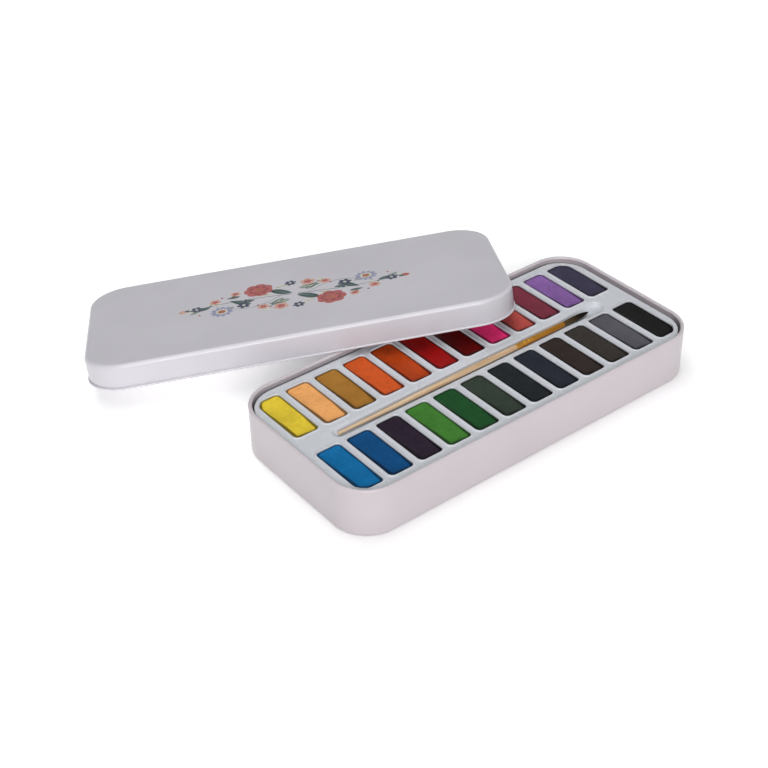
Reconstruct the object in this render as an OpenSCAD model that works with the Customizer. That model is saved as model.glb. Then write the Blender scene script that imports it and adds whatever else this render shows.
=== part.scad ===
// Watercolour pan set: a pressed tin with a lift-off lid, a moulded tray of 24 paints, and a brush.
// The long side of the tin runs along X, its back is at +Y and Z is up.
// The origin is the centre of the tin's underside. The open lid leans on the back rim.

/* [Tin] */
// Length of the tin
tin_l = 230; // [229:0.5:232]
// Width of the tin
tin_w = 105.4; // [105:0.2:107]
// Height of the tin to the top of its rolled rim
tin_h = 28; // [26:0.5:32]
// Outside radius of the tin's corners
tin_r = 20.6; // [19:0.2:21]
// Thickness of the pressed sheet
sheet = 0.5; // [0.4:0.1:0.8]
// Radius of the edge round the underside
foot_r = 1.8; // [1:0.1:2.5]
// Radius of the rolled rim
rim_r = 1; // [0.6:0.1:1.2]

/* [Lid] */
// Height of the lid
lid_h = 14.2; // [10:0.2:18]
// Gap between the closed lid and the tin, on each side
lid_gap = 0.2; // [0.1:0.05:0.4]
// Radius of the edge round the lid's top
lid_edge_r = 2; // [1:0.1:3]
// Radius of the bead along the lid's hem
hem_r = 0.6; // [0.5:0.1:0.8]

/* [Open lid] */
// Turn of the lid about its own face, seen from above
lid_turn = -30; // [-34:1:-28]
// Middle of the lid along the rim it leans on
lid_along = -37.2; // [-42:0.2:-30]
// Middle of the lid behind the rim it leans on
lid_behind = 54.5; // [52:0.5:60]
// Clearance between the lid's hem and the rim
lean_gap = 0.15; // [0.1:0.05:0.5]

/* [Tray] */
// Distance of the tray's edge in from the tin's outside
tray_inset = 2.9; // [2.6:0.1:3.6]
// Depth of the tray's face below the rim
tray_drop = 2.8; // [2:0.1:4]
// Thickness of the tray's plastic
tray_t = 0.8; // [0.6:0.1:1]
// Spacing of the wells along a row
pitch = 18.2; // [17.8:0.1:18.3]
// Width of a well
well_w = 14.6; // [13:0.1:14.8]
// Length of a well
well_l = 37.3; // [34:0.1:37.5]
// Radius of a well's corners
well_r = 2.8; // [2:0.1:4]
// Least distance of a well from the tray's edge, which rounds the outer corner of the end wells
well_margin = 2.6; // [2:0.1:3]
// Depth of a well
well_depth = 7; // [5:0.5:9]
// Distance of each row from the middle of the tray
row_y = 26.1; // [25.5:0.1:26.2]
// Width of the raised lip round a well
lip_w = 0.7; // [0.4:0.1:0.8]
// Height of the raised lip
lip_h = 0.4; // [0.2:0.1:0.6]
// Length of the brush groove
groove_l = 184; // [182:1:188]
// Width of the brush groove
groove_w = 7; // [6:0.2:8]
// Distance of the groove's middle in front of the tray's
groove_front = 1; // [0:0.1:1.4]
// Depth of the brush groove
groove_depth = 2.2; // [1.8:0.1:3]
// Length of the wider scoop round the hairs
scoop_l = 22; // [16:1:28]
// Width of the scoop
scoop_w = 9.8; // [8:0.2:10.4]
// Distance of the scoop's middle in front of the tray's
scoop_front = 0.3; // [0:0.1:1]

/* [Paints] */
// Depth of the paint's top below the lip
paint_drop = 1; // [0.6:0.1:2.5]
// Gap between a paint and the wall of its well
paint_gap = 0.05; // [0.02:0.01:0.1]

/* [Brush] */
// Length of the brush with its hairs
brush_l = 171; // [168:1:176]
// Length of the brush's hairs
hair_l = 19; // [16:1:26]
// Length of the ferrule
ferrule_l = 34.5; // [28:0.5:38]
// Largest radius of the wooden handle
handle_r = 1.6; // [1.3:0.1:1.8]
// Radius of the handle's tail
tail_r = 0.8; // [0.5:0.1:1]
// Radius of the ferrule at the hairs
ferrule_r = 1.45; // [1.2:0.05:1.7]

/* [Hidden] */
$fn = 64;
WELLS = 12;                  // wells in a row
PAINTS = [                   // the back row from the left, then the front row from the left
    ["lemon_yellow", "#d0b838"], ["peach", "#e0a464"], ["ochre", "#a4762e"], ["orange", "#ca5826"],
    ["red_orange", "#b0421e"], ["scarlet", "#9a1e16"], ["maroon", "#500609"], ["magenta", "#c0265c"],
    ["coral_red", "#c84034"], ["crimson", "#862840"], ["violet", "#7c5698"], ["indigo", "#302e46"],
    ["cerulean", "#0a649c"], ["blue", "#144a7c"], ["plum", "#302438"], ["leaf_green", "#407432"],
    ["forest_green", "#244c2c"], ["moss_black", "#363e38"], ["pine_black", "#262a2e"], ["navy", "#2a2e38"],
    ["sepia", "#362e2c"], ["umber", "#3a3a36"], ["grey", "#545459"], ["black", "#1f1f20"]
];
PAINT_NODES = [for (paint = PAINTS) str("paint_", paint[0])];
enamel = "#e4dde2";
plastic = "#dfe3ea";
eps = 0.01;

lid_l = tin_l + 2 * (lid_gap + sheet);
lid_w = tin_w + 2 * (lid_gap + sheet);
lid_r = tin_r + lid_gap + sheet;
hem_x = lid_r - sheet + hem_r;                    // the hem bead's centre, from the corner's axis

rest_y = tin_w / 2 - rim_r;                       // the crest of the back rim
// Reach from the crest to the hem's furthest point, along the lid's own face
lid_reach = lid_behind + sin(abs(lid_turn)) * (lid_l / 2 - lid_r) + cos(lid_turn) * (lid_w / 2 - lid_r) + hem_x;
// Lean that brings that point down to the table
lid_lean = asin((tin_h + lean_gap - hem_r) / norm([lid_reach, hem_r])) + atan2(hem_r, lid_reach);

tray_l = tin_l - 2 * tray_inset;
tray_w = tin_w - 2 * tray_inset;
tray_r = tin_r - tray_inset;
face_z = tin_h - tray_drop;
well_floor = face_z - well_depth;
catch_l = 20;                                     // the catches that hold the tray under the rim
catch_out = tray_inset - sheet - 0.4;
catch_z = 21;
catch_h = 6;
groove_x = 1;                                     // the groove's middle, a little to the right

brush_clear = 0.1;
brush_x = groove_x - groove_l / 2 + 2.3;          // the tail of the handle
brush_front = groove_front + 0.3;                 // the brush lies a little to the front in the groove
brush_z = face_z - groove_depth + handle_r + brush_clear;
ferrule_x = brush_l - hair_l - ferrule_l;         // where the ferrule starts, from the tail
tang_l = 12;                                      // wood inside the ferrule
root_l = 8;                                       // hairs inside the ferrule
belly_x = 0.8 * ferrule_x;                        // the thickest place of the handle
ferrule_t = 0.2;
neck_r = handle_r - 0.05;                         // the ferrule over the wood

// A rounded rectangle about the origin
module rounded_rect(l, w, r) {
    square([l - 2 * r, w], center = true);
    square([l, w - 2 * r], center = true);
    for (x = [-1, 1], y = [-1, 1]) translate([x * (l / 2 - r), y * (w / 2 - r)]) circle(r);
}

// Carries a section round a rounded rectangle: its x counts outwards from the corner's axis
module carry_round(l, w, r) {
    for (i = [0:3]) {
        along = i % 2 == 0 ? l : w;
        across = i % 2 == 0 ? w : l;
        rotate([0, 0, 90 * i]) translate([along / 2 - r, across / 2 - r, 0]) {
            rotate_extrude(angle = 90) children();
            rotate([90, 0, 0]) linear_extrude(across - 2 * r) children();
        }
    }
}

// Section of a pressed pan: flat floor, bent edge and wall, up to the centre of its bead
module pan_section(r, h, edge_r, bead_r, bead_x) {
    square([r - edge_r, sheet]);
    translate([r - edge_r, edge_r]) difference() {
        intersection() {
            circle(edge_r);
            translate([0, -edge_r]) square(edge_r);
        }
        circle(edge_r - sheet);
    }
    translate([r - sheet, edge_r]) square([sheet, h - bead_r - edge_r]);
    translate([bead_x, h - bead_r]) circle(bead_r);
}

// A pressed pan with its floor down
module pan(l, w, r, h, edge_r, bead_r, bead_x) {
    carry_round(l, w, r) pan_section(r, h, edge_r, bead_r, bead_x);
    translate([r - l / 2, r - w / 2, 0]) cube([l - 2 * r, w - 2 * r, sheet]);
}

// Places its children at well number i
module at_well(i) {
    column = i % WELLS - (WELLS - 1) / 2;
    row = i < WELLS ? 1 : -1;
    translate([column * pitch, row * row_y, 0]) children();
}

// The outline of well i, grown by d
module well_shape(i, d) {
    margin = well_margin - d;
    intersection() {
        at_well(i) rounded_rect(well_w + 2 * d, well_l + 2 * d, well_r + d);
        rounded_rect(tray_l - 2 * margin, tray_w - 2 * margin, tray_r - margin);
    }
}

// The groove's outline with its scoop, grown by d
module groove_shape(d) {
    translate([groove_x, -groove_front]) rounded_rect(groove_l + 2 * d, groove_w + 2 * d, groove_w / 2 - 0.5 + d);
    translate([groove_x + (groove_l - scoop_l) / 2, -scoop_front])
        rounded_rect(scoop_l + 2 * d, scoop_w + 2 * d, scoop_w / 2 - 0.5 + d);
}

// One catch on the tray's back skirt, a wedge that points down
module catch() {
    translate([-catch_l / 2, tray_w / 2 - eps, catch_z]) rotate([90, 0, 90]) linear_extrude(catch_l)
        polygon([[0, 0], [catch_out, 0], [0, -catch_h]]);
}

module tin_base() {
    color(enamel) pan(tin_l, tin_w, tin_r, tin_h, foot_r, rim_r, tin_r - rim_r);
}

module paint_tray() {
    color(plastic) difference() {
        union() {
            translate([0, 0, face_z - tray_t]) linear_extrude(tray_t) rounded_rect(tray_l, tray_w, tray_r);
            translate([0, 0, sheet]) linear_extrude(face_z - sheet) difference() {
                rounded_rect(tray_l, tray_w, tray_r);
                rounded_rect(tray_l - 2 * tray_t, tray_w - 2 * tray_t, tray_r - tray_t);
            }
            for (i = [0:2 * WELLS - 1]) {
                translate([0, 0, well_floor - tray_t]) linear_extrude(well_depth + tray_t) well_shape(i, tray_t);
                translate([0, 0, face_z - eps]) linear_extrude(lip_h + eps) well_shape(i, lip_w);
            }
            translate([0, 0, face_z - groove_depth - tray_t]) linear_extrude(groove_depth + tray_t)
                groove_shape(tray_t);
            for (x = [-1, 1], turn = [0, 180]) rotate([0, 0, turn]) translate([x * tray_l / 4, 0, 0]) catch();
        }
        for (i = [0:2 * WELLS - 1]) translate([0, 0, well_floor]) linear_extrude(well_depth + 1) well_shape(i, 0);
        translate([0, 0, face_z - groove_depth]) linear_extrude(groove_depth + 1) groove_shape(0);
    }
}

module paint(i) {
    color(PAINTS[i][1]) translate([0, 0, well_floor])
        linear_extrude(well_depth + lip_h - paint_drop) well_shape(i, -paint_gap);
}

// Places a turned piece along the brush, its x counting from the tail
module along_brush() {
    translate([brush_x, -brush_front, brush_z]) rotate([0, 90, 0]) children();
}

// Radius of the wood at x from the tail
function wood_r(x) = x < belly_x
    ? tail_r + (handle_r - tail_r) * sin(90 * x / belly_x)
    : handle_r - 0.15 * pow((x - belly_x) / (ferrule_x - belly_x), 2);

module brush_handle() {
    steps = 24;
    outline = [for (i = [0:steps]) let (x = tail_r + (ferrule_x - tail_r) * i / steps) [wood_r(x), x]];
    tail = [for (a = [0:15:75]) [tail_r * sin(a), tail_r * (1 - cos(a))]];
    tang = [[neck_r - ferrule_t, ferrule_x], [neck_r - ferrule_t, ferrule_x + tang_l], [0, ferrule_x + tang_l]];
    color("#d2af82") along_brush() rotate_extrude() polygon(concat(tail, outline, tang));
}

module brush_ferrule() {
    end = ferrule_x + ferrule_l;
    color("#dc9632") along_brush() rotate_extrude() difference() {
        union() {
            polygon([[0, ferrule_x], [neck_r, ferrule_x], [neck_r, ferrule_x + tang_l], [ferrule_r, end], [0, end]]);
            for (x = [5, 8]) translate([neck_r - 0.12, ferrule_x + x]) circle(0.3);
        }
        translate([0, ferrule_x - eps]) square([neck_r - ferrule_t, tang_l + eps]);
        polygon([[0, ferrule_x], [neck_r - ferrule_t, ferrule_x + tang_l - eps],
                 [ferrule_r - ferrule_t, end + eps], [0, end + eps]]);
    }
}

module brush_hairs() {
    start = ferrule_x + ferrule_l - root_l;
    root_r = ferrule_r - ferrule_t;
    full = hair_l * 0.6;
    swell = 0.25;
    point = [for (t = [0:0.1:1]) [(root_r + swell) * sqrt(1 - t * t), full + (hair_l - full) * t]];
    color("#2c2420") along_brush() translate([0, 0, ferrule_x + ferrule_l]) rotate_extrude()
        polygon(concat([[0, -root_l], [root_r, -root_l], [root_r, 0]], point));
}

module lid() {
    color(enamel) translate([0, rest_y, tin_h + lean_gap]) rotate([-lid_lean, 0, 0])
        translate([lid_along, lid_behind, lid_h]) rotate([0, 0, lid_turn]) mirror([0, 0, 1])
        pan(lid_l, lid_w, lid_r, lid_h, lid_edge_r, hem_r, hem_x);
}

tin_base();
paint_tray();
for (i = [0:2 * WELLS - 1]) paint(i);
brush_handle();
brush_ferrule();
brush_hairs();
lid();
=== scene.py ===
import math
import random

import bmesh
import bpy
from mathutils import Matrix, Vector, noise


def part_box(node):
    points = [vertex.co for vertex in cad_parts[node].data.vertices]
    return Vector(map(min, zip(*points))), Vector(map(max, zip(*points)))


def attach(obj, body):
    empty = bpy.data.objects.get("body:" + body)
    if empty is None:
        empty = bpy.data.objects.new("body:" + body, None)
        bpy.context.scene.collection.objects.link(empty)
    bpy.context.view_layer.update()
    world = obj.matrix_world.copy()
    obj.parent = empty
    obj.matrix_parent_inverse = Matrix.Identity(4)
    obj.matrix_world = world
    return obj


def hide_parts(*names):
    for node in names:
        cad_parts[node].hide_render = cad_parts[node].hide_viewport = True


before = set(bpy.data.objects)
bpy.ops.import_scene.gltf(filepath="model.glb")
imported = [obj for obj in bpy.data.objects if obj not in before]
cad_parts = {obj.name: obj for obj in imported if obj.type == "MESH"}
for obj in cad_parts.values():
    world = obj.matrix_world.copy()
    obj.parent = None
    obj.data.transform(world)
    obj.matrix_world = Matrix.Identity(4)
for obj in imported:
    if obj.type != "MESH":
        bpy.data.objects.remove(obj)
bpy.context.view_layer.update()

# --------------------------------------------------------------------------------------------------
# Sizes, in millimetres, as in part.scad
# --------------------------------------------------------------------------------------------------
MM = 0.001
tin_low, tin_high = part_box("tin_base")
TIN_L, TIN_W, TIN_H = ((tin_high - tin_low) / MM)[:]
TIN_R, SHEET, FOOT_R, RIM_R = 20.6, 0.5, 1.8, 1.0

LID_H, LID_GAP, LID_EDGE_R, HEM_R = 14.2, 0.2, 2.0, 0.6
LID_TURN, LID_ALONG, LID_BEHIND, LEAN_GAP = -30.0, -37.2, 54.5, 0.15
LID_L, LID_W = (side + 2 * (LID_GAP + SHEET) for side in (TIN_L, TIN_W))
LID_R = TIN_R + LID_GAP + SHEET
HEM_OUT = HEM_R - SHEET  # the hem bead's centre, out from the lid's wall
HEM_CREASE = 0.15        # how deep the lid's wall is nipped in under its hem
REST_Y = TIN_W / 2 - RIM_R

WELLS, PITCH, WELL_W, WELL_L, WELL_R, WELL_DEPTH, ROW_Y = 12, 18.2, 14.6, 37.3, 2.8, 7.0, 26.1
TRAY_INSET, TRAY_DROP, WELL_MARGIN, LIP_H, PAINT_DROP = 2.9, 2.8, 2.6, 0.4, 1.0
TRAY_L, TRAY_W, TRAY_R = TIN_L - 2 * TRAY_INSET, TIN_W - 2 * TRAY_INSET, TIN_R - TRAY_INSET
FACE_Z = TIN_H - TRAY_DROP
PAINT_Z = FACE_Z + LIP_H - PAINT_DROP
TRAY_EDGE_R = 0.7

GROOVE_X, GROOVE_L, GROOVE_W, GROOVE_FRONT = 1.0, 184.0, 7.0, 1.0
SCOOP_L, SCOOP_W, SCOOP_FRONT = 22.0, 9.8, 0.3

BRUSH_L, HAIR_L, FERRULE_L = 171.0, 19.0, 34.5
HANDLE_R, TAIL_R, FERRULE_R, FERRULE_T = 1.6, 0.8, 1.45, 0.2
FERRULE_X = BRUSH_L - HAIR_L - FERRULE_L
brush_low, brush_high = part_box("brush_handle")
BRUSH_X = brush_low.x / MM
BRUSH_Y, BRUSH_Z = ((brush_low + brush_high) / 2 / MM)[1:]

PAINTS = {  # the back row from the left, then the front row from the left
    "lemon_yellow": "#cdb431", "peach": "#db9c5d", "ochre": "#956726", "orange": "#bc4d1a",
    "red_orange": "#9f380a", "scarlet": "#8b0c0b", "maroon": "#550303", "magenta": "#ef367a",
    "coral_red": "#a64640", "crimson": "#6d2b3a", "violet": "#795691", "indigo": "#373547",
    "cerulean": "#035e91", "blue": "#034373", "plum": "#261c2a", "leaf_green": "#397029",
    "forest_green": "#174621", "moss_black": "#2e3830", "pine_black": "#1d2124", "navy": "#22262f",
    "sepia": "#2d2522", "umber": "#322e2b", "grey": "#4f4e54", "black": "#1a1919",
}


# --------------------------------------------------------------------------------------------------
# Mesh helpers
# --------------------------------------------------------------------------------------------------
class Shell:
    """Collects rings of vertices, in millimetres, and the faces between them."""

    def __init__(self):
        self.verts = []
        self.faces = []

    def ring(self, points):
        start = len(self.verts)
        self.verts += points
        return list(range(start, len(self.verts)))

    def bridge(self, a, b):
        count = len(a)
        for i in range(count):
            j = (i + 1) % count
            self.faces.append((a[i], a[j], b[j], b[i]))

    def rings(self, loops):
        """Adds closed loops one after another and joins each to the next; returns the index rings."""
        made = [self.ring(loop) for loop in loops]
        for a, b in zip(made, made[1:]):
            self.bridge(a, b)
        return made

    def cap(self, ring):
        self.faces.append(tuple(ring))

    def build(self, name, place=None, fills=(), sharp=35.0):
        """Makes the object. fills lists groups of rings whose flat space between them is filled."""
        mesh = bpy.data.meshes.new(name)
        mesh.from_pydata([Vector(v) * MM for v in self.verts], [], self.faces)
        bm = bmesh.new()
        bm.from_mesh(mesh)
        bm.verts.ensure_lookup_table()
        for group in fills:
            edges = []
            for ring in group:
                for a, b in zip(ring, ring[1:] + ring[:1]):
                    pair = (bm.verts[a], bm.verts[b])
                    edges.append(bm.edges.get(pair) or bm.edges.new(pair))
            bmesh.ops.triangle_fill(bm, use_beauty=True, edges=edges)
        if place:
            bmesh.ops.transform(bm, matrix=place, verts=bm.verts)
        bmesh.ops.recalc_face_normals(bm, faces=bm.faces)
        bm.to_mesh(mesh)
        bm.free()
        mesh.shade_smooth()
        mesh.set_sharp_from_angle(angle=math.radians(sharp))
        obj = bpy.data.objects.new(name, mesh)
        bpy.context.scene.collection.objects.link(obj)
        return obj


def arc_angles(start, turn, steps):
    """Evenly spaced angles in radians, both ends included, from degrees."""
    return [math.radians(start + turn * j / steps) for j in range(steps + 1)]


def rounded_rect(length, width, radius, arc, runs):
    """Points round a rounded rectangle about the origin, anticlockwise, the same count whatever its size.
    arc is the steps round each corner, and runs the steps along its long and short sides."""
    hx, hy = length / 2 - radius, width / 2 - radius
    centres = [(hx, hy), (-hx, hy), (-hx, -hy), (hx, -hy)]
    points = []
    for k, (cx, cy) in enumerate(centres):
        turn = arc_angles(90 * k, 90, arc)
        points += [(cx + radius * math.cos(a), cy + radius * math.sin(a)) for a in turn]
        x0, y0 = points[-1]
        nx, ny = centres[(k + 1) % 4]
        x1, y1 = nx + radius * math.cos(turn[-1]), ny + radius * math.sin(turn[-1])
        steps = runs[k % 2]
        points += [(x0 + (x1 - x0) * j / steps, y0 + (y1 - y0) * j / steps) for j in range(1, steps)]
    return points


def at_height(points, z):
    return [(x, y, z) for x, y in points]


def edge_distance(x, y, length, width, radius):
    """Signed distance to a rounded rectangle's edge, positive outside, and the direction outwards."""
    qx, qy = abs(x) - (length / 2 - radius), abs(y) - (width / 2 - radius)
    sx, sy = math.copysign(1, x), math.copysign(1, y)
    if qx > 0 and qy > 0:
        reach = math.hypot(qx, qy)
        return reach - radius, sx * qx / reach, sy * qy / reach
    if qx > qy:
        return qx - radius, sx, 0.0
    return qy - radius, 0.0, sy


def smoothstep(t):
    t = min(max(t, 0.0), 1.0)
    return t * t * (3 - 2 * t)


# --------------------------------------------------------------------------------------------------
# Materials
# --------------------------------------------------------------------------------------------------
def linear(colour):
    """A linear colour from #rrggbb."""
    channels = [int(colour[i:i + 2], 16) / 255 for i in (1, 3, 5)]
    return [c / 12.92 if c <= 0.04045 else ((c + 0.055) / 1.055) ** 2.4 for c in channels]


class Surface:
    """A Principled material whose textures run in the object's own space, in metres."""

    def __init__(self, name, colour, roughness, **sockets):
        self.mat = bpy.data.materials.new(name)
        self.mat.use_nodes = True
        self.nodes = self.mat.node_tree.nodes
        self.links = self.mat.node_tree.links
        self.bsdf = self.nodes["Principled BSDF"]
        self.base = (*linear(colour), 1.0)
        self.set("Base Color", self.base)
        self.set("Roughness", roughness)
        for socket, value in sockets.items():
            self.set(socket.replace("_", " ").title().replace("Ior", "IOR"), value)
        self.space = self.nodes.new("ShaderNodeTexCoord").outputs["Object"]

    def set(self, socket, value):
        self.bsdf.inputs[socket].default_value = value

    def stretched(self, scale=(1, 1, 1), turn=(0, 0, 0)):
        mapping = self.nodes.new("ShaderNodeMapping")
        mapping.inputs["Scale"].default_value = scale
        mapping.inputs["Rotation"].default_value = [math.radians(a) for a in turn]
        self.links.new(self.space, mapping.inputs["Vector"])
        return mapping.outputs["Vector"]

    def noise(self, scale, detail=3.0, space=None, distortion=0.0):
        tex = self.nodes.new("ShaderNodeTexNoise")
        tex.inputs["Scale"].default_value = scale
        tex.inputs["Detail"].default_value = detail
        tex.inputs["Distortion"].default_value = distortion
        self.links.new(space or self.space, tex.inputs["Vector"])
        return tex.outputs["Fac"]

    def cells(self, scale, space=None):
        tex = self.nodes.new("ShaderNodeTexVoronoi")
        tex.inputs["Scale"].default_value = scale
        self.links.new(space or self.space, tex.inputs["Vector"])
        return tex.outputs["Distance"]

    def away_from(self, place):
        node = self.nodes.new("ShaderNodeVectorMath")
        node.operation = "DISTANCE"
        node.inputs[1].default_value = place
        self.links.new(self.space, node.inputs[0])
        return node.outputs["Value"]

    def spread(self, value, low, high, to_low=0.0, to_high=1.0):
        """Maps value from low..high to to_low..to_high, held at the ends."""
        node = self.nodes.new("ShaderNodeMapRange")
        for socket, number in zip(("From Min", "From Max", "To Min", "To Max"), (low, high, to_low, to_high)):
            node.inputs[socket].default_value = number
        self.links.new(value, node.inputs["Value"])
        return node.outputs["Result"]

    def mix(self, factor, a, b):
        """Mixes two colours, each a linear list or a socket."""
        node = self.nodes.new("ShaderNodeMix")
        node.data_type = "RGBA"
        self.links.new(factor, node.inputs["Factor"])
        for socket, colour in ((node.inputs[6], a), (node.inputs[7], b)):
            if isinstance(colour, (list, tuple)):
                socket.default_value = (*colour[:3], 1.0)
            else:
                self.links.new(colour, socket)
        return node.outputs[2]

    def add(self, a, b, weight=1.0):
        node = self.nodes.new("ShaderNodeMath")
        node.operation = "MULTIPLY_ADD"
        self.links.new(b, node.inputs[0])
        node.inputs[1].default_value = weight
        self.links.new(a, node.inputs[2])
        return node.outputs[0]

    def link(self, value, socket):
        self.links.new(value, self.bsdf.inputs[socket])

    def bump(self, height, strength, distance=0.0001):
        node = self.nodes.new("ShaderNodeBump")
        node.inputs["Strength"].default_value = strength
        node.inputs["Distance"].default_value = distance
        self.links.new(height, node.inputs["Height"])
        self.link(node.outputs["Normal"], "Normal")


def shade(colour, factor):
    return [min(c * factor, 1.0) for c in colour[:3]]


def enamel(name, colour):
    """Satin white enamel on pressed metal: faint clouds of tone, orange peel and fine dust in the coat."""
    surface = Surface(name, colour, 0.36, coat_weight=0.25, coat_roughness=0.22)
    clouds = surface.noise(22, 3)
    surface.link(surface.mix(surface.spread(clouds, 0.35, 0.65), shade(surface.base, 0.965),
                             shade(surface.base, 1.02)), "Base Color")
    surface.link(surface.spread(surface.noise(60, 4), 0.3, 0.7, 0.32, 0.42), "Roughness")
    peel = surface.add(surface.noise(900, 2), surface.noise(160, 2), 1.5)
    surface.bump(peel, 0.10, 0.00006)
    return surface.mat


def tray_plastic():
    """Glossy white polystyrene, drawn thin over a mould, with soft waves and faint scuffs."""
    surface = Surface("tray_plastic", "#bdc0c5", 0.22, ior=1.5, coat_weight=0.2, coat_roughness=0.1)
    surface.link(surface.mix(surface.spread(surface.noise(30, 2), 0.3, 0.7), shade(surface.base, 0.96),
                             surface.base), "Base Color")
    scuffs = surface.noise(240, 5, surface.stretched((1, 0.25, 1), (0, 0, 30)))
    surface.link(surface.spread(scuffs, 0.35, 0.75, 0.18, 0.34), "Roughness")
    surface.bump(surface.add(surface.noise(70, 2), surface.noise(700, 2), 0.15), 0.25, 0.0003)
    return surface.mat


def paint_surface(name, colour, index):
    """Pressed watercolour: satin binder over fine grain and pits; painted shade darkens the pits and the
    paint's edge, and pale specks are painted glints.
    """
    surface = Surface(name, colour, 0.42, specular_ior_level=0.12)
    place = surface.nodes.new("ShaderNodeMapping")
    place.inputs["Location"].default_value = (index * 0.37, index * 0.13, 0)
    surface.links.new(surface.space, place.inputs["Vector"])
    space = place.outputs["Vector"]
    clouds = surface.add(surface.noise(90, 4, space), surface.noise(420, 3, space), 0.6)
    body = surface.mix(surface.spread(clouds, 0.6, 1.0), shade(surface.base, 0.87), shade(surface.base, 1.1))
    pits = surface.spread(surface.cells(400, space), 0.05, 0.14)
    glint_specks = surface.spread(surface.noise(1500, 3, space), 0.66, 0.74)
    # Painted shade: the pits, dented by the bump below, are darkened in their hollows.
    pitted = surface.mix(pits, shade(surface.base, 0.5), body)
    # Painted glints: pale specks scattered over the paint.
    pale = [c * 0.7 + 0.16 for c in surface.base[:3]]
    speckled = surface.mix(surface.spread(glint_specks, 0, 1, 0, 0.35), pitted, pale)
    # Painted shade: the paint darkens towards its edge, widest to the left and front where the lips shade it.
    edge_shade = surface.nodes.new("ShaderNodeAttribute")
    edge_shade.attribute_name = "edge_shade"
    surface.link(surface.mix(surface.spread(edge_shade.outputs["Fac"], 0, 1, 0, 0.9), speckled,
                             shade(surface.base, 0.15)), "Base Color")
    surface.link(surface.spread(surface.noise(200, 3, space), 0.3, 0.7, 0.36, 0.52), "Roughness")
    grain = surface.add(surface.noise(1800, 3, space), surface.noise(260, 3, space), 2.0)
    surface.bump(surface.add(grain, pits, 1.2), 0.35, 0.00012)
    return surface.mat


def handle_wood():
    """Pale turned beech: long fine grain, short darker flecks and a rubbed satin finish."""
    surface = Surface("handle_wood", "#c1a27a", 0.46)
    grain = surface.noise(520, 4, surface.stretched((0.06, 1, 1)), 0.4)
    flecks = surface.spread(surface.noise(1500, 2, surface.stretched((0.09, 1, 1))), 0.6, 0.72)
    tone = surface.mix(surface.spread(grain, 0.3, 0.7), linear("#ad8c67"), linear("#c8b192"))
    flecked = surface.mix(surface.spread(flecks, 0, 1, 0, 0.55), tone, linear("#8f6439"))
    surface.link(flecked, "Base Color")
    surface.link(surface.spread(grain, 0.3, 0.7, 0.4, 0.56), "Roughness")
    surface.bump(grain, 0.3, 0.00006)
    return surface.mat


def ferrule_brass():
    """Drawn and lacquered brass with fine marks along its length."""
    surface = Surface("ferrule_brass", "#e8a23c", 0.24, metallic=0.85)
    drawn = surface.noise(900, 3, surface.stretched((0.05, 1, 1)))
    tone = surface.mix(surface.spread(drawn, 0.3, 0.7), linear("#cf8420"), linear("#f2b652"))
    surface.link(tone, "Base Color")
    surface.link(surface.spread(drawn, 0.3, 0.7, 0.28, 0.42), "Roughness")
    surface.bump(drawn, 0.15, 0.00003)
    return surface.mat


def brush_hair():
    """Dark brown hair, a little warmer and lighter at the ferrule than at the point."""
    surface = Surface("brush_hair", "#2a221c", 0.38, specular_ior_level=0.5)
    along = surface.nodes.new("ShaderNodeSeparateXYZ")
    surface.links.new(surface.space, along.inputs["Vector"])
    root = (BRUSH_X + BRUSH_L - HAIR_L) * MM
    fade = surface.spread(along.outputs["X"], root, root + 0.6 * HAIR_L * MM)
    strands = surface.noise(1600, 2, surface.stretched((0.04, 1, 1)))
    light = surface.mix(surface.spread(strands, 0.3, 0.7), linear("#4a3a22"), linear("#6d5a36"))
    dark = surface.mix(surface.spread(strands, 0.3, 0.7), linear("#181312"), linear("#2c2220"))
    surface.link(surface.mix(fade, light, dark), "Base Color")
    surface.bump(strands, 0.3, 0.00004)
    return surface.mat


def print_ink(name, colour):
    """Printed ink on the enamel, slightly uneven."""
    surface = Surface(name, colour, 0.4, coat_weight=0.25, coat_roughness=0.22)
    surface.link(surface.mix(surface.spread(surface.noise(420, 3), 0.3, 0.7), shade(surface.base, 0.85),
                             shade(surface.base, 1.15)), "Base Color")
    surface.bump(surface.noise(900, 2), 0.1, 0.00004)
    return surface.mat


# --------------------------------------------------------------------------------------------------
# The pressed tin and its lid
# --------------------------------------------------------------------------------------------------
FLOOR_RUN = 6.0   # the ring of flat floor inside a pan's bent edge
SUPPORT = 0.4     # how far past a bend its holding loop stands, so that the flat next to it shades flat
NECK = 0.5        # where a pan's wall starts to turn in below its bead


def pan_profile(height, edge_r, bead_r, bead_out, crease=0.0):
    """Section of a pressed pan with its floor down, as (offset out from the wall, height), outside then
    inside. crease is how deep the sheet is nipped in just below its bead."""
    bead_z = height - bead_r
    under_z = bead_z - bead_r
    bend = arc_angles(0, 90, 8)
    inner_r = edge_r - SHEET
    outside = [(-edge_r - FLOOR_RUN, 0), (-edge_r - SUPPORT, 0)]
    outside += [(edge_r * (math.sin(a) - 1), edge_r * (1 - math.cos(a))) for a in bend]
    outside += [(0, edge_r + SUPPORT), (0, under_z - NECK), (-0.8 * crease, under_z - 0.4 * NECK)]
    outside += [(-crease, under_z)]
    start = -math.acos(-bead_out / bead_r)
    end = 2 * math.pi - math.acos((-SHEET - bead_out) / bead_r)
    around = [start + (end - start) * j / 20 for j in range(21)]
    bead = [(bead_out + bead_r * math.cos(a), bead_z + bead_r * math.sin(a)) for a in around]
    inside = [(-SHEET - crease, under_z), (-SHEET, under_z - NECK), (-SHEET, edge_r + SUPPORT)]
    inside += [(-edge_r + inner_r * math.sin(a), edge_r - inner_r * math.cos(a)) for a in reversed(bend)]
    inside += [(-edge_r - SUPPORT, SHEET), (-edge_r - FLOOR_RUN, SHEET)]
    return outside + bead + inside


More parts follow.
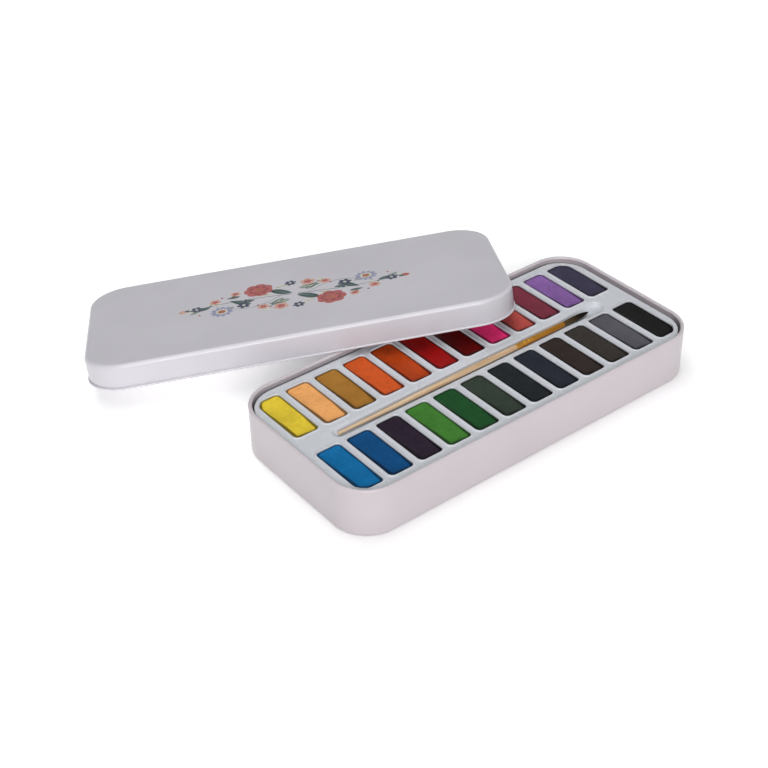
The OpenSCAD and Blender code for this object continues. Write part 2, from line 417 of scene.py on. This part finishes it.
def pan(name, length, width, radius, profile, place=None):
    shell = Shell()
    loops = []
    for d, z in profile:
        loops.append(at_height(rounded_rect(length + 2 * d, width + 2 * d, radius + d, 24, (24, 10)), z))
    rings = shell.rings(loops)
    shell.cap(rings[0])
    shell.cap(rings[-1])
    return shell.build(name, place, sharp=50)


def make_tin():
    obj = pan("tin_shell", TIN_L, TIN_W, TIN_R, pan_profile(TIN_H, FOOT_R, RIM_R, -RIM_R))
    obj.data.materials.append(enamel("tin_enamel", "#b9b2b6"))
    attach(obj, "tin")
    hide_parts("tin_base")


def lid_place():
    """From the lid lying upside down about the origin to where it leans, in metres."""
    turn = math.radians(LID_TURN)
    reach = LID_BEHIND + abs(math.sin(turn)) * (LID_L / 2 - LID_R) + math.cos(turn) * (LID_W / 2 - LID_R)
    reach += LID_R + HEM_OUT
    rest_z = TIN_H + LEAN_GAP
    lean = math.asin((rest_z - HEM_R) / math.hypot(reach, HEM_R)) + math.atan2(HEM_R, reach)
    flipped = Matrix.Rotation(turn, 4, "Z") @ Matrix.Scale(-1, 4, (0, 0, 1))
    placed = Matrix.Translation(Vector((LID_ALONG, LID_BEHIND, LID_H)) * MM) @ flipped
    leaning = Matrix.Rotation(-lean, 4, "X") @ placed
    return Matrix.Translation(Vector((0, REST_Y, rest_z)) * MM) @ leaning


def make_lid():
    profile = pan_profile(LID_H, LID_EDGE_R, HEM_R, HEM_OUT, HEM_CREASE)
    obj = pan("lid_shell", LID_L, LID_W, LID_R, profile, lid_place())
    obj.data.materials.append(enamel("lid_enamel", "#c1bfc5"))
    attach(obj, "lid")
    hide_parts("lid")


# --------------------------------------------------------------------------------------------------
# The flower spray printed on the lid, in the lid's own plane
# --------------------------------------------------------------------------------------------------
SPRAY_REACH = 65.0  # half the spray's length
INK_LIFT = 0.03     # thickness of one layer of ink
STEM_THICK = 0.45
INKS = {
    "coral": "#a95c5a", "wine": "#84464a", "navy": "#3e465c", "lavender": "#8c90aa", "sage": "#72837b",
    "teal": "#3b524f", "peach": "#c49e8e", "rust": "#a0654c", "cream": "#c9c6ba",
}


def blossom(x, y, radius, lobes, depth, turn=0.0):
    """A flower's outline: depth is how far it is cut in between its petals."""
    points = []
    for j in range(12 * lobes):
        a = 2 * math.pi * j / (12 * lobes)
        r = radius * (1 - depth + depth * abs(math.cos(lobes * (a - turn) / 2)) ** 0.7)
        points.append((x + r * math.cos(a), y + r * math.sin(a)))
    return points


def leaf(x, y, length, width, turn):
    """A leaf from its foot at x, y, pointing turn degrees from the lid's long side."""
    steps = 12
    across = [width / 2 * math.sin(math.pi * (j / steps) ** 0.85) for j in range(steps + 1)]
    outline = [(length * j / steps, across[j]) for j in range(steps + 1)]
    outline += [(length * j / steps, -across[j]) for j in range(steps - 1, 0, -1)]
    c, s = math.cos(math.radians(turn)), math.sin(math.radians(turn))
    return [(x + u * c - v * s, y + u * s + v * c) for u, v in outline]


def stem(x0, x1, sway):
    """A stem's ribbon along a soft wave between two places on the spray's middle line."""
    steps = 30
    run = [x0 + (x1 - x0) * j / steps for j in range(steps + 1)]
    middle = [sway * math.sin(math.pi * (x - x0) / (x1 - x0)) for x in run]
    upper = [(x, y + STEM_THICK / 2) for x, y in zip(run, middle)]
    lower = [(x, y - STEM_THICK / 2) for x, y in zip(run, middle)]
    return upper + lower[::-1]


LEAVES = [  # along the spray as a share of its reach, off its middle line, length, and degrees from it
    (0.02, -1.5, 15.0, -32), (0.1, 3.0, 11.0, 48), (0.3, 8.0, 10.0, 118), (0.42, 2.0, 11.0, -38),
    (0.52, 3.5, 9.5, 28), (0.62, -2.5, 9.0, -14), (0.72, -1.0, 10.0, 16), (0.8, 0.5, 8.0, 34),
    (0.16, -12.0, 9.0, 196), (0.46, -9.0, 8.0, 4), (0.04, 6.5, 13.0, 8), (0.2, -3.5, 12.0, -24),
    (0.34, -1.0, 11.0, 10), (0.55, 9.0, 9.0, -12), (0.86, 1.5, 7.0, -20), (0.08, -7.0, 10.0, -14),
]
PEACH_FLOWERS = [(0.13, 0.21, 4.4), (0.68, -0.1, 3.4), (0.28, 0.16, 3.4), (0.5, -0.2, 3.0)]
NAVY_FLOWERS = [(0.84, -0.01, 3.6), (0.44, 0.06, 4.0), (0.02, -0.24, 3.4)]
BERRIES = 7


def half_spray(side):
    """Ink, layer and outline of each shape in one half; the other half is the same turned round."""
    reach = SPRAY_REACH
    bud = "coral" if side > 0 else "peach"
    yield "teal", 1, stem(2, 0.93 * reach, -3.0)
    yield "sage", 1, stem(8, 0.68 * reach, 9.0)
    for j, (along, off, size, turn) in enumerate(LEAVES):
        ink = ("teal", "sage", "cream")[j % 3]
        yield ink, 1, leaf(along * reach, off, size, 0.36 * size, turn)
        vein = "cream" if ink == "sage" else "sage"
        yield vein, 2, leaf(along * reach, off, 0.8 * size, 0.05 * size, turn)
    bloom = (0.3 * reach, -0.2 * reach)
    yield "coral", 2, blossom(*bloom, 8.4, 7, 0.16)
    yield "wine", 3, blossom(*bloom, 5.6, 7, 0.3, 0.4)
    yield "coral", 4, blossom(*bloom, 4.4, 6, 0.25, 0.1)
    yield "rust", 5, blossom(*bloom, 1.9, 5, 0.2)
    daisy = (0.63 * reach, 0.12 * reach)
    yield "lavender", 2, blossom(*daisy, 6.4, 11, 0.4)
    yield "cream", 3, blossom(*daisy, 3.6, 9, 0.3, 0.2)
    yield "rust", 4, blossom(*daisy, 2.2, 8, 0.12)
    for x, y, size in PEACH_FLOWERS:
        yield "peach", 2, blossom(x * reach, y * reach, size, 5, 0.3, 0.3)
        yield "coral", 3, blossom(x * reach, y * reach, 0.55 * size, 5, 0.4)
    for x, y, size in NAVY_FLOWERS:
        yield "navy", 2, blossom(x * reach, y * reach, size, 6, 0.5, 0.2)
        yield "cream", 3, blossom(x * reach, y * reach, 0.26 * size, 5, 0.1)
    yield bud, 2, leaf(0.92 * reach, -1.0, 5.4, 4.0, 12)
    yield "teal", 3, leaf(0.9 * reach, -1.4, 3.2, 2.0, 12)
    for j in range(BERRIES):
        x, y = (0.22 + 0.1 * j) * reach, 12 * math.cos(0.9 * j)
        yield ("rust", "wine", "navy")[j % 3], 2, blossom(x, y, 0.75, 4, 0.05)


def make_print():
    shells = {ink: Shell() for ink in INKS}
    for side in (1, -1):
        for ink, layer, outline in half_spray(side):
            turned_round = [(side * x, side * y) for x, y in outline]
            under, over = shells[ink].rings([at_height(turned_round, 0.1 * SHEET),
                                             at_height(turned_round, -layer * INK_LIFT)])
            shells[ink].cap(under)
            shells[ink].cap(over)
    for ink, colour in INKS.items():
        obj = shells[ink].build("print_" + ink, lid_place())
        obj.data.materials.append(print_ink("ink_" + ink, colour))
        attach(obj, "lid")


# --------------------------------------------------------------------------------------------------
# The tray
# --------------------------------------------------------------------------------------------------
def well_centre(index):
    return (index % WELLS - (WELLS - 1) / 2) * PITCH, ROW_Y if index < WELLS else -ROW_Y


SOFTNESS = 0.35  # how gently a well's straight sides turn into the tray's corner
LEAST_R = 0.8


def well_outline(index, grow):
    """The outline of a well, grown outwards. Near the tin's corners it keeps inside the tray's edge."""
    cx, cy = well_centre(index)
    margin = WELL_MARGIN - (0.3 * grow if grow > 0 else grow)
    limit = (TRAY_L - 2 * margin, TRAY_W - 2 * margin, TRAY_R - margin)
    outline = []
    corner = max(WELL_R + grow, LEAST_R)
    for x, y in rounded_rect(WELL_W + 2 * grow, WELL_L + 2 * grow, corner, 7, (9, 24)):
        x, y = x + cx, y + cy
        over, nx, ny = edge_distance(x, y, *limit)
        pull = SOFTNESS * math.log1p(math.exp(min(over / SOFTNESS, 40)))
        outline.append((x - nx * pull, y - ny * pull))
    return outline


def groove_sides(x):
    """Where the groove's near and far sides are at x, the far side swelling round the hairs."""
    near, far = -GROOVE_FRONT - GROOVE_W / 2, -GROOVE_FRONT + GROOVE_W / 2
    near_scoop, far_scoop = -SCOOP_FRONT - SCOOP_W / 2, -SCOOP_FRONT + SCOOP_W / 2
    right = GROOVE_X + GROOVE_L / 2
    swell = smoothstep((x - right + 1.4 * SCOOP_L) / SCOOP_L)
    return near + (near_scoop - near) * swell, far + (far_scoop - far) * swell


def groove_outline(grow):
    """The outline of the brush groove, grown outwards."""
    left, right = GROOVE_X - GROOVE_L / 2, GROOVE_X + GROOVE_L / 2
    arc, steps = 12, 60
    ends = []
    for end, way in ((right, 1), (left, -1)):
        near, far = groove_sides(end)
        ends.append((end - way * (far - near) / 2, (near + far) / 2, (far - near) / 2))
    points = []
    for (cx, cy, r), start in zip(ends, (-0.5, 0.5)):
        turn = [math.pi * (start + j / arc) for j in range(arc + 1)]
        points += [(cx + (r + grow) * math.cos(a), cy + (r + grow) * math.sin(a)) for a in turn]
        run = [ends[0][0] + (ends[1][0] - ends[0][0]) * j / steps for j in range(1, steps)]
        if start > 0:
            points += [(x, groove_sides(x)[0] - grow) for x in reversed(run)]
        else:
            points += [(x, groove_sides(x)[1] + grow) for x in run]
    return points


WELL_PROFILE = [  # offset out from the well's wall, height over the tray's face
    (1.55, 0), (1.46, 0), (1.3, 0.05), (1.1, 0.16), (0.85, 0.3), (0.62, 0.38), (0.42, LIP_H), (0.24, 0.37),
    (0.08, 0.26), (-0.02, 0.08), (-0.07, -0.2), (-0.1, -0.6), (-0.14, -2.6), (-0.25, -6.4), (-0.6, -6.9),
    (-1.2, -WELL_DEPTH), (-2.2, -WELL_DEPTH),
]
GROOVE_PROFILE = [
    (0.9, 0), (0.8, 0), (0.5, -0.06), (0.2, -0.22), (-0.1, -0.5), (-0.5, -1.05), (-1.0, -1.65), (-1.6, -2.05),
    (-2.2, -2.2), (-2.8, -2.2),
]


def make_tray():
    shell = Shell()
    edge = []
    for a in arc_angles(0, 90, 6):
        edge.append((TRAY_EDGE_R * (math.sin(a) - 1), TRAY_EDGE_R * (math.cos(a) - 1)))
    edge += [(0, -WELL_DEPTH - 1), (0, SHEET - FACE_Z)]
    loops = []
    for d, z in edge:
        outline = rounded_rect(TRAY_L + 2 * d, TRAY_W + 2 * d, TRAY_R + d, 16, (30, 12))
        loops.append(at_height(outline, FACE_Z + z))
    rims = shell.rings(loops)
    face = [rims[0]]
    floors = []
    for index in range(2 * WELLS):
        rings = shell.rings([at_height(well_outline(index, d), FACE_Z + z) for d, z in WELL_PROFILE])
        face.append(rings[0])
        floors.append([rings[-1]])
    rings = shell.rings([at_height(groove_outline(d), FACE_Z + z) for d, z in GROOVE_PROFILE])
    face.append(rings[0])
    floors.append([rings[-1]])
    obj = shell.build("tray_moulding", fills=[face] + floors, sharp=60)
    obj.data.materials.append(tray_plastic())
    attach(obj, "tin")
    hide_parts("paint_tray")


# --------------------------------------------------------------------------------------------------
# The paints
# --------------------------------------------------------------------------------------------------
CAKE_GAP = 0.12
CAKE_CREST = 0.15  # how far the dried edge stands over the CAD paint's flat top
EDGE_WIDTH, EDGE_LEAST, EDGE_FADE = 1.35, 0.65, 0.5  # of the painted shade along the paint's edge
EDGE_LEAN = Vector((1.0, 1.4))  # how much wider the painted shade is to the left and to the front, the sides the well's lips shade
CAKE_EDGE = [(0, -3.0), (0, -0.3), (-0.03, -0.12), (-0.1, -0.03), (-0.22, 0)]
CAKE_TOP = [-0.35, -0.5, -0.7, -0.95, -1.25, -1.6, -2.0, -2.5, -3.1, -3.8, -4.6, -5.4, -6.2]


def cake_surface(x, y, inset, seed):
    """Height of a paint's top over its crest: it climbed the wall as it dried and sank in the middle."""
    climb = -0.6 * (1 - math.exp(-max(inset - 0.22, 0) / 0.75))
    sunk = -0.6 * smoothstep(inset / 6)
    waves = 0.12 * noise.noise(Vector((x / 6, y / 9, seed * 3.1)))
    ripple = 0.045 * noise.noise(Vector((x / 1.6, y / 1.6, seed * 7.7)))
    return climb + sunk + (waves + ripple) * smoothstep(inset)


def painted_edge_shade(outer, inner, inset):
    """How dark the painted shade along the paint's edge is at each point of the loop that lies inset from the
    outer one.
    """
    shades = []
    for (xo, yo, _), (xi, yi, _) in zip(outer, inner):
        out = Vector((xo - xi, yo - yi)).normalized()
        width = max(EDGE_WIDTH - EDGE_LEAN.dot(out), EDGE_LEAST)
        shades.append(smoothstep((width - inset) / EDGE_FADE + 0.5))
    return shades


def make_paint(index, name, colour):
    shell = Shell()
    crest = PAINT_Z + CAKE_CREST
    loops = [at_height(well_outline(index, d - CAKE_GAP), crest + z) for d, z in CAKE_EDGE]
    for d in CAKE_TOP:
        outline = well_outline(index, d - CAKE_GAP)
        loops.append([(x, y, crest + cake_surface(x, y, -d, index)) for x, y in outline])
    rings = shell.rings(loops)
    shell.cap(rings[-1])
    obj = shell.build("cake_" + name, sharp=70)
    insets = [-d for d, _ in CAKE_EDGE] + [-d for d in CAKE_TOP]
    # Strength of the painted edge shade at each vertex.
    attribute = obj.data.attributes.new("edge_shade", "FLOAT", "POINT")
    values = []
    for inset in insets:
        values += painted_edge_shade(loops[0], loops[-1], inset)
    attribute.data.foreach_set("value", values)
    obj.data.materials.append(paint_surface("paint_" + name, colour, index))
    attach(obj, "tin")
    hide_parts("paint_" + name)


# --------------------------------------------------------------------------------------------------
# The brush
# --------------------------------------------------------------------------------------------------
CRIMPS = (5.0, 8.0, 10.2)  # rings pressed into the ferrule, from its handle end
TANG_STEP = 0.3            # how much thinner the wood is inside the ferrule
STRANDS, JOINTS = 260, 9   # hairs round the tuft's core, and the steps along each
HAIR_ROOT = 1.0            # how far inside the ferrule they start


def circle(x, r, sides):
    """A ring round the brush's middle line, x along from its tail."""
    angles = [2 * math.pi * j / sides for j in range(sides)]
    return [(BRUSH_X + x, BRUSH_Y + r * math.cos(a), BRUSH_Z + r * math.sin(a)) for a in angles]


def turned(name, outline):
    """A turned piece along the brush from (distance from the tail, radius) points."""
    shell = Shell()
    rings = shell.rings([circle(x, r, 32) for x, r in outline])
    shell.cap(rings[0])
    shell.cap(rings[-1])
    return shell.build(name, sharp=40)


def wood_radius(x):
    belly = 0.8 * FERRULE_X
    if x < belly:
        return TAIL_R + (HANDLE_R - TAIL_R) * math.sin(math.pi / 2 * x / belly)
    return HANDLE_R - 0.15 * ((x - belly) / (FERRULE_X - belly)) ** 2


def make_handle():
    outline = []
    for a in arc_angles(0, 90, 8)[:-1]:
        outline.append((TAIL_R * (1 - math.cos(a)), max(TAIL_R * math.sin(a), 0.02)))
    steps = 48
    for j in range(steps + 1):
        x = TAIL_R + (FERRULE_X - TAIL_R) * j / steps
        outline.append((x, wood_radius(x)))
    outline += [(FERRULE_X + x, HANDLE_R - TANG_STEP) for x in (0.4, 4.0)]
    obj = turned("wooden_handle", outline)
    obj.data.materials.append(handle_wood())
    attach(obj, "brush")
    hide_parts("brush_handle")


def make_ferrule():
    neck = HANDLE_R - 0.05
    outline = [(FERRULE_X, neck - FERRULE_T), (FERRULE_X, neck - 0.04), (FERRULE_X + 0.1, neck)]
    steps = 150
    for j in range(1, steps):
        x = FERRULE_L * j / steps
        taper = neck + (FERRULE_R - neck) * smoothstep((x - 10) / (FERRULE_L - 10))
        pinch = sum(0.16 * math.exp(-((x - c) / 0.42) ** 2) for c in CRIMPS)
        ridge = sum(0.05 * math.exp(-((x - c - s) / 0.4) ** 2) for c in CRIMPS for s in (-0.9, 0.9))
        outline.append((FERRULE_X + x, taper - pinch + ridge))
    end = FERRULE_X + FERRULE_L
    outline += [(end, FERRULE_R - 0.02), (end + 0.03, FERRULE_R - 0.1)]
    outline += [(end - x, FERRULE_R - FERRULE_T) for x in (0.02, 3.0)]
    obj = turned("brass_ferrule", outline)
    obj.data.materials.append(ferrule_brass())
    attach(obj, "brush")
    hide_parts("brush_ferrule")


def hair_radius(t):
    """Radius of the tuft at t along the hairs, from 0 at the ferrule to 1 at the point."""
    root = FERRULE_R - FERRULE_T
    swell = 0.25 * math.sin(math.pi / 2 * min(t / 0.5, 1.0))
    point = min(max((t - 0.5) / 0.5, 0.0), 1.0)
    return (root + swell) * max(1 - point ** 2.2, 0.015) ** 0.75


def hair_strand(rng):
    """Loops of one tapering three-sided hair, rooted inside the ferrule."""
    root_x = BRUSH_X + FERRULE_X + FERRULE_L
    spin = rng.uniform(0, 2 * math.pi)
    depth = math.sqrt(rng.uniform(0.62, 1.0))
    length = HAIR_L * (1 - 0.16 * rng.random() ** 2 - 0.12 * (1 - depth))
    stray = rng.gauss(0, 0.05)
    thick = rng.uniform(0.05, 0.075)
    loops = []
    for j in range(JOINTS + 1):
        t = j / JOINTS
        x = -HAIR_ROOT + (length + HAIR_ROOT) * t
        reach = depth * hair_radius(max(x, 0) / HAIR_L) + stray * t * t
        y, z = BRUSH_Y + reach * math.cos(spin), BRUSH_Z + reach * math.sin(spin)
        r = thick * (1 - 0.75 * t * t)
        corners = [spin + 2 * math.pi * k / 3 for k in range(3)]
        loops.append([(root_x + x, y + r * math.cos(a), z + r * math.sin(a)) for a in corners])
    return loops


def make_hairs():
    shell = Shell()
    core = []
    for j in range(25):
        t = j / 24
        x = FERRULE_X + FERRULE_L - HAIR_ROOT + (HAIR_L * 0.93 + HAIR_ROOT) * t
        core.append(circle(x, 0.86 * hair_radius(t), 20))
    rng = random.Random(7)
    for loops in [core] + [hair_strand(rng) for _ in range(STRANDS)]:
        rings = shell.rings(loops)
        shell.cap(rings[0])
        shell.cap(rings[-1])
    obj = shell.build("hair_tuft", sharp=80)
    obj.data.materials.append(brush_hair())
    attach(obj, "brush")
    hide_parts("brush_hairs")


# --------------------------------------------------------------------------------------------------
# The stage
# --------------------------------------------------------------------------------------------------
CAMERA_TURN, CAMERA_TILT, CAMERA_ROLL = 37.14, 35.94, 1.4  # degrees: from +Y, down, and about the view
CAMERA_OFF = Vector((46.85, 10.7, 791.6))  # the tin's middle from the camera: right, down and ahead
FOCAL, SENSOR = 69.85, 36.0
GLOW_NEAR, GLOW_FAR = 0.06, 0.29           # how strongly the floor glows by the tin, and away from it
GLOW_LID = 0.26                            # and how much more in the shade of the lid
WORLD_LIGHT = 0.19
WARM, COOL = (1.0, 0.97, 0.985), (0.985, 0.995, 1.0)


def camera_axes():
    turn, tilt, roll = (math.radians(a) for a in (CAMERA_TURN, CAMERA_TILT, CAMERA_ROLL))
    ahead = Vector((math.sin(turn) * math.cos(tilt), math.cos(turn) * math.cos(tilt), -math.sin(tilt)))
    right = Vector((math.cos(turn), -math.sin(turn), 0))
    down = ahead.cross(right)
    c, s = math.cos(roll), math.sin(roll)
    return right * c + down * s, down * c - right * s, ahead


def make_camera():
    right, down, ahead = camera_axes()
    data = bpy.data.cameras.new("camera")
    data.sensor_width = SENSOR
    data.lens = FOCAL
    data.clip_start, data.clip_end = 0.05, 20
    camera = bpy.data.objects.new("camera", data)
    place = -(right * CAMERA_OFF.x + down * CAMERA_OFF.y + ahead * CAMERA_OFF.z) * MM
    turn = Matrix((right, -down, -ahead)).transposed()
    camera.matrix_world = Matrix.Translation(place) @ turn.to_4x4()
    bpy.context.scene.collection.objects.link(camera)
    bpy.context.scene.camera = camera


def area_light(name, place, size, power, colour):
    """A soft box that shines on the middle of the tin's foot."""
    data = bpy.data.lights.new(name, "AREA")
    data.shape = "RECTANGLE"
    data.size, data.size_y = size
    data.energy = power
    data.color = colour
    light = bpy.data.objects.new(name, data)
    light.location = place
    light.rotation_euler = (-Vector(place)).to_track_quat("-Z", "Y").to_euler()
    bpy.context.scene.collection.objects.link(light)
    return light


def make_floor():
    bpy.ops.mesh.primitive_plane_add(size=12, location=(0, 0, -0.0002))
    floor = bpy.context.object
    floor.name = "floor"
    surface = Surface("floor_white", "#f4f4f4", 0.9, specular_ior_level=0.1)
    surface.set("Emission Color", (1, 1, 1, 1))
    ground = surface.spread(surface.away_from((0, -0.06, 0)), 0.13, 0.22, GLOW_NEAR, GLOW_FAR)
    under_lid = surface.spread(surface.away_from((-0.09, 0.1, 0)), 0.02, 0.08, GLOW_LID, 0)
    surface.link(surface.add(ground, under_lid), "Emission Strength")
    floor.data.materials.append(surface.mat)


def make_lights():
    world = bpy.data.worlds.new("studio")
    world.use_nodes = True
    background = world.node_tree.nodes["Background"]
    background.inputs["Color"].default_value = (1, 1, 1, 1)
    background.inputs["Strength"].default_value = WORLD_LIGHT
    bpy.context.scene.world = world
    area_light("key_box", (-1.6, -2.6, 1.4), (1.4, 1.0), 76, WARM)
    area_light("top_box", (-0.5, -0.4, 2.4), (2.0, 2.0), 26, COOL)
    back = area_light("back_box", (0.3, 0.7, 2.2), (1.6, 1.6), 19, COOL)
    back.visible_glossy = False  # it lights the floor behind, and leaves no glare on the paints
    bpy.context.scene.view_settings.view_transform = "Standard"


make_camera()
make_tin()
make_lid()
make_print()
make_tray()
for number, (paint, tone) in enumerate(PAINTS.items()):
    make_paint(number, paint, tone)
make_handle()
make_ferrule()
make_hairs()
make_floor()
make_lights()
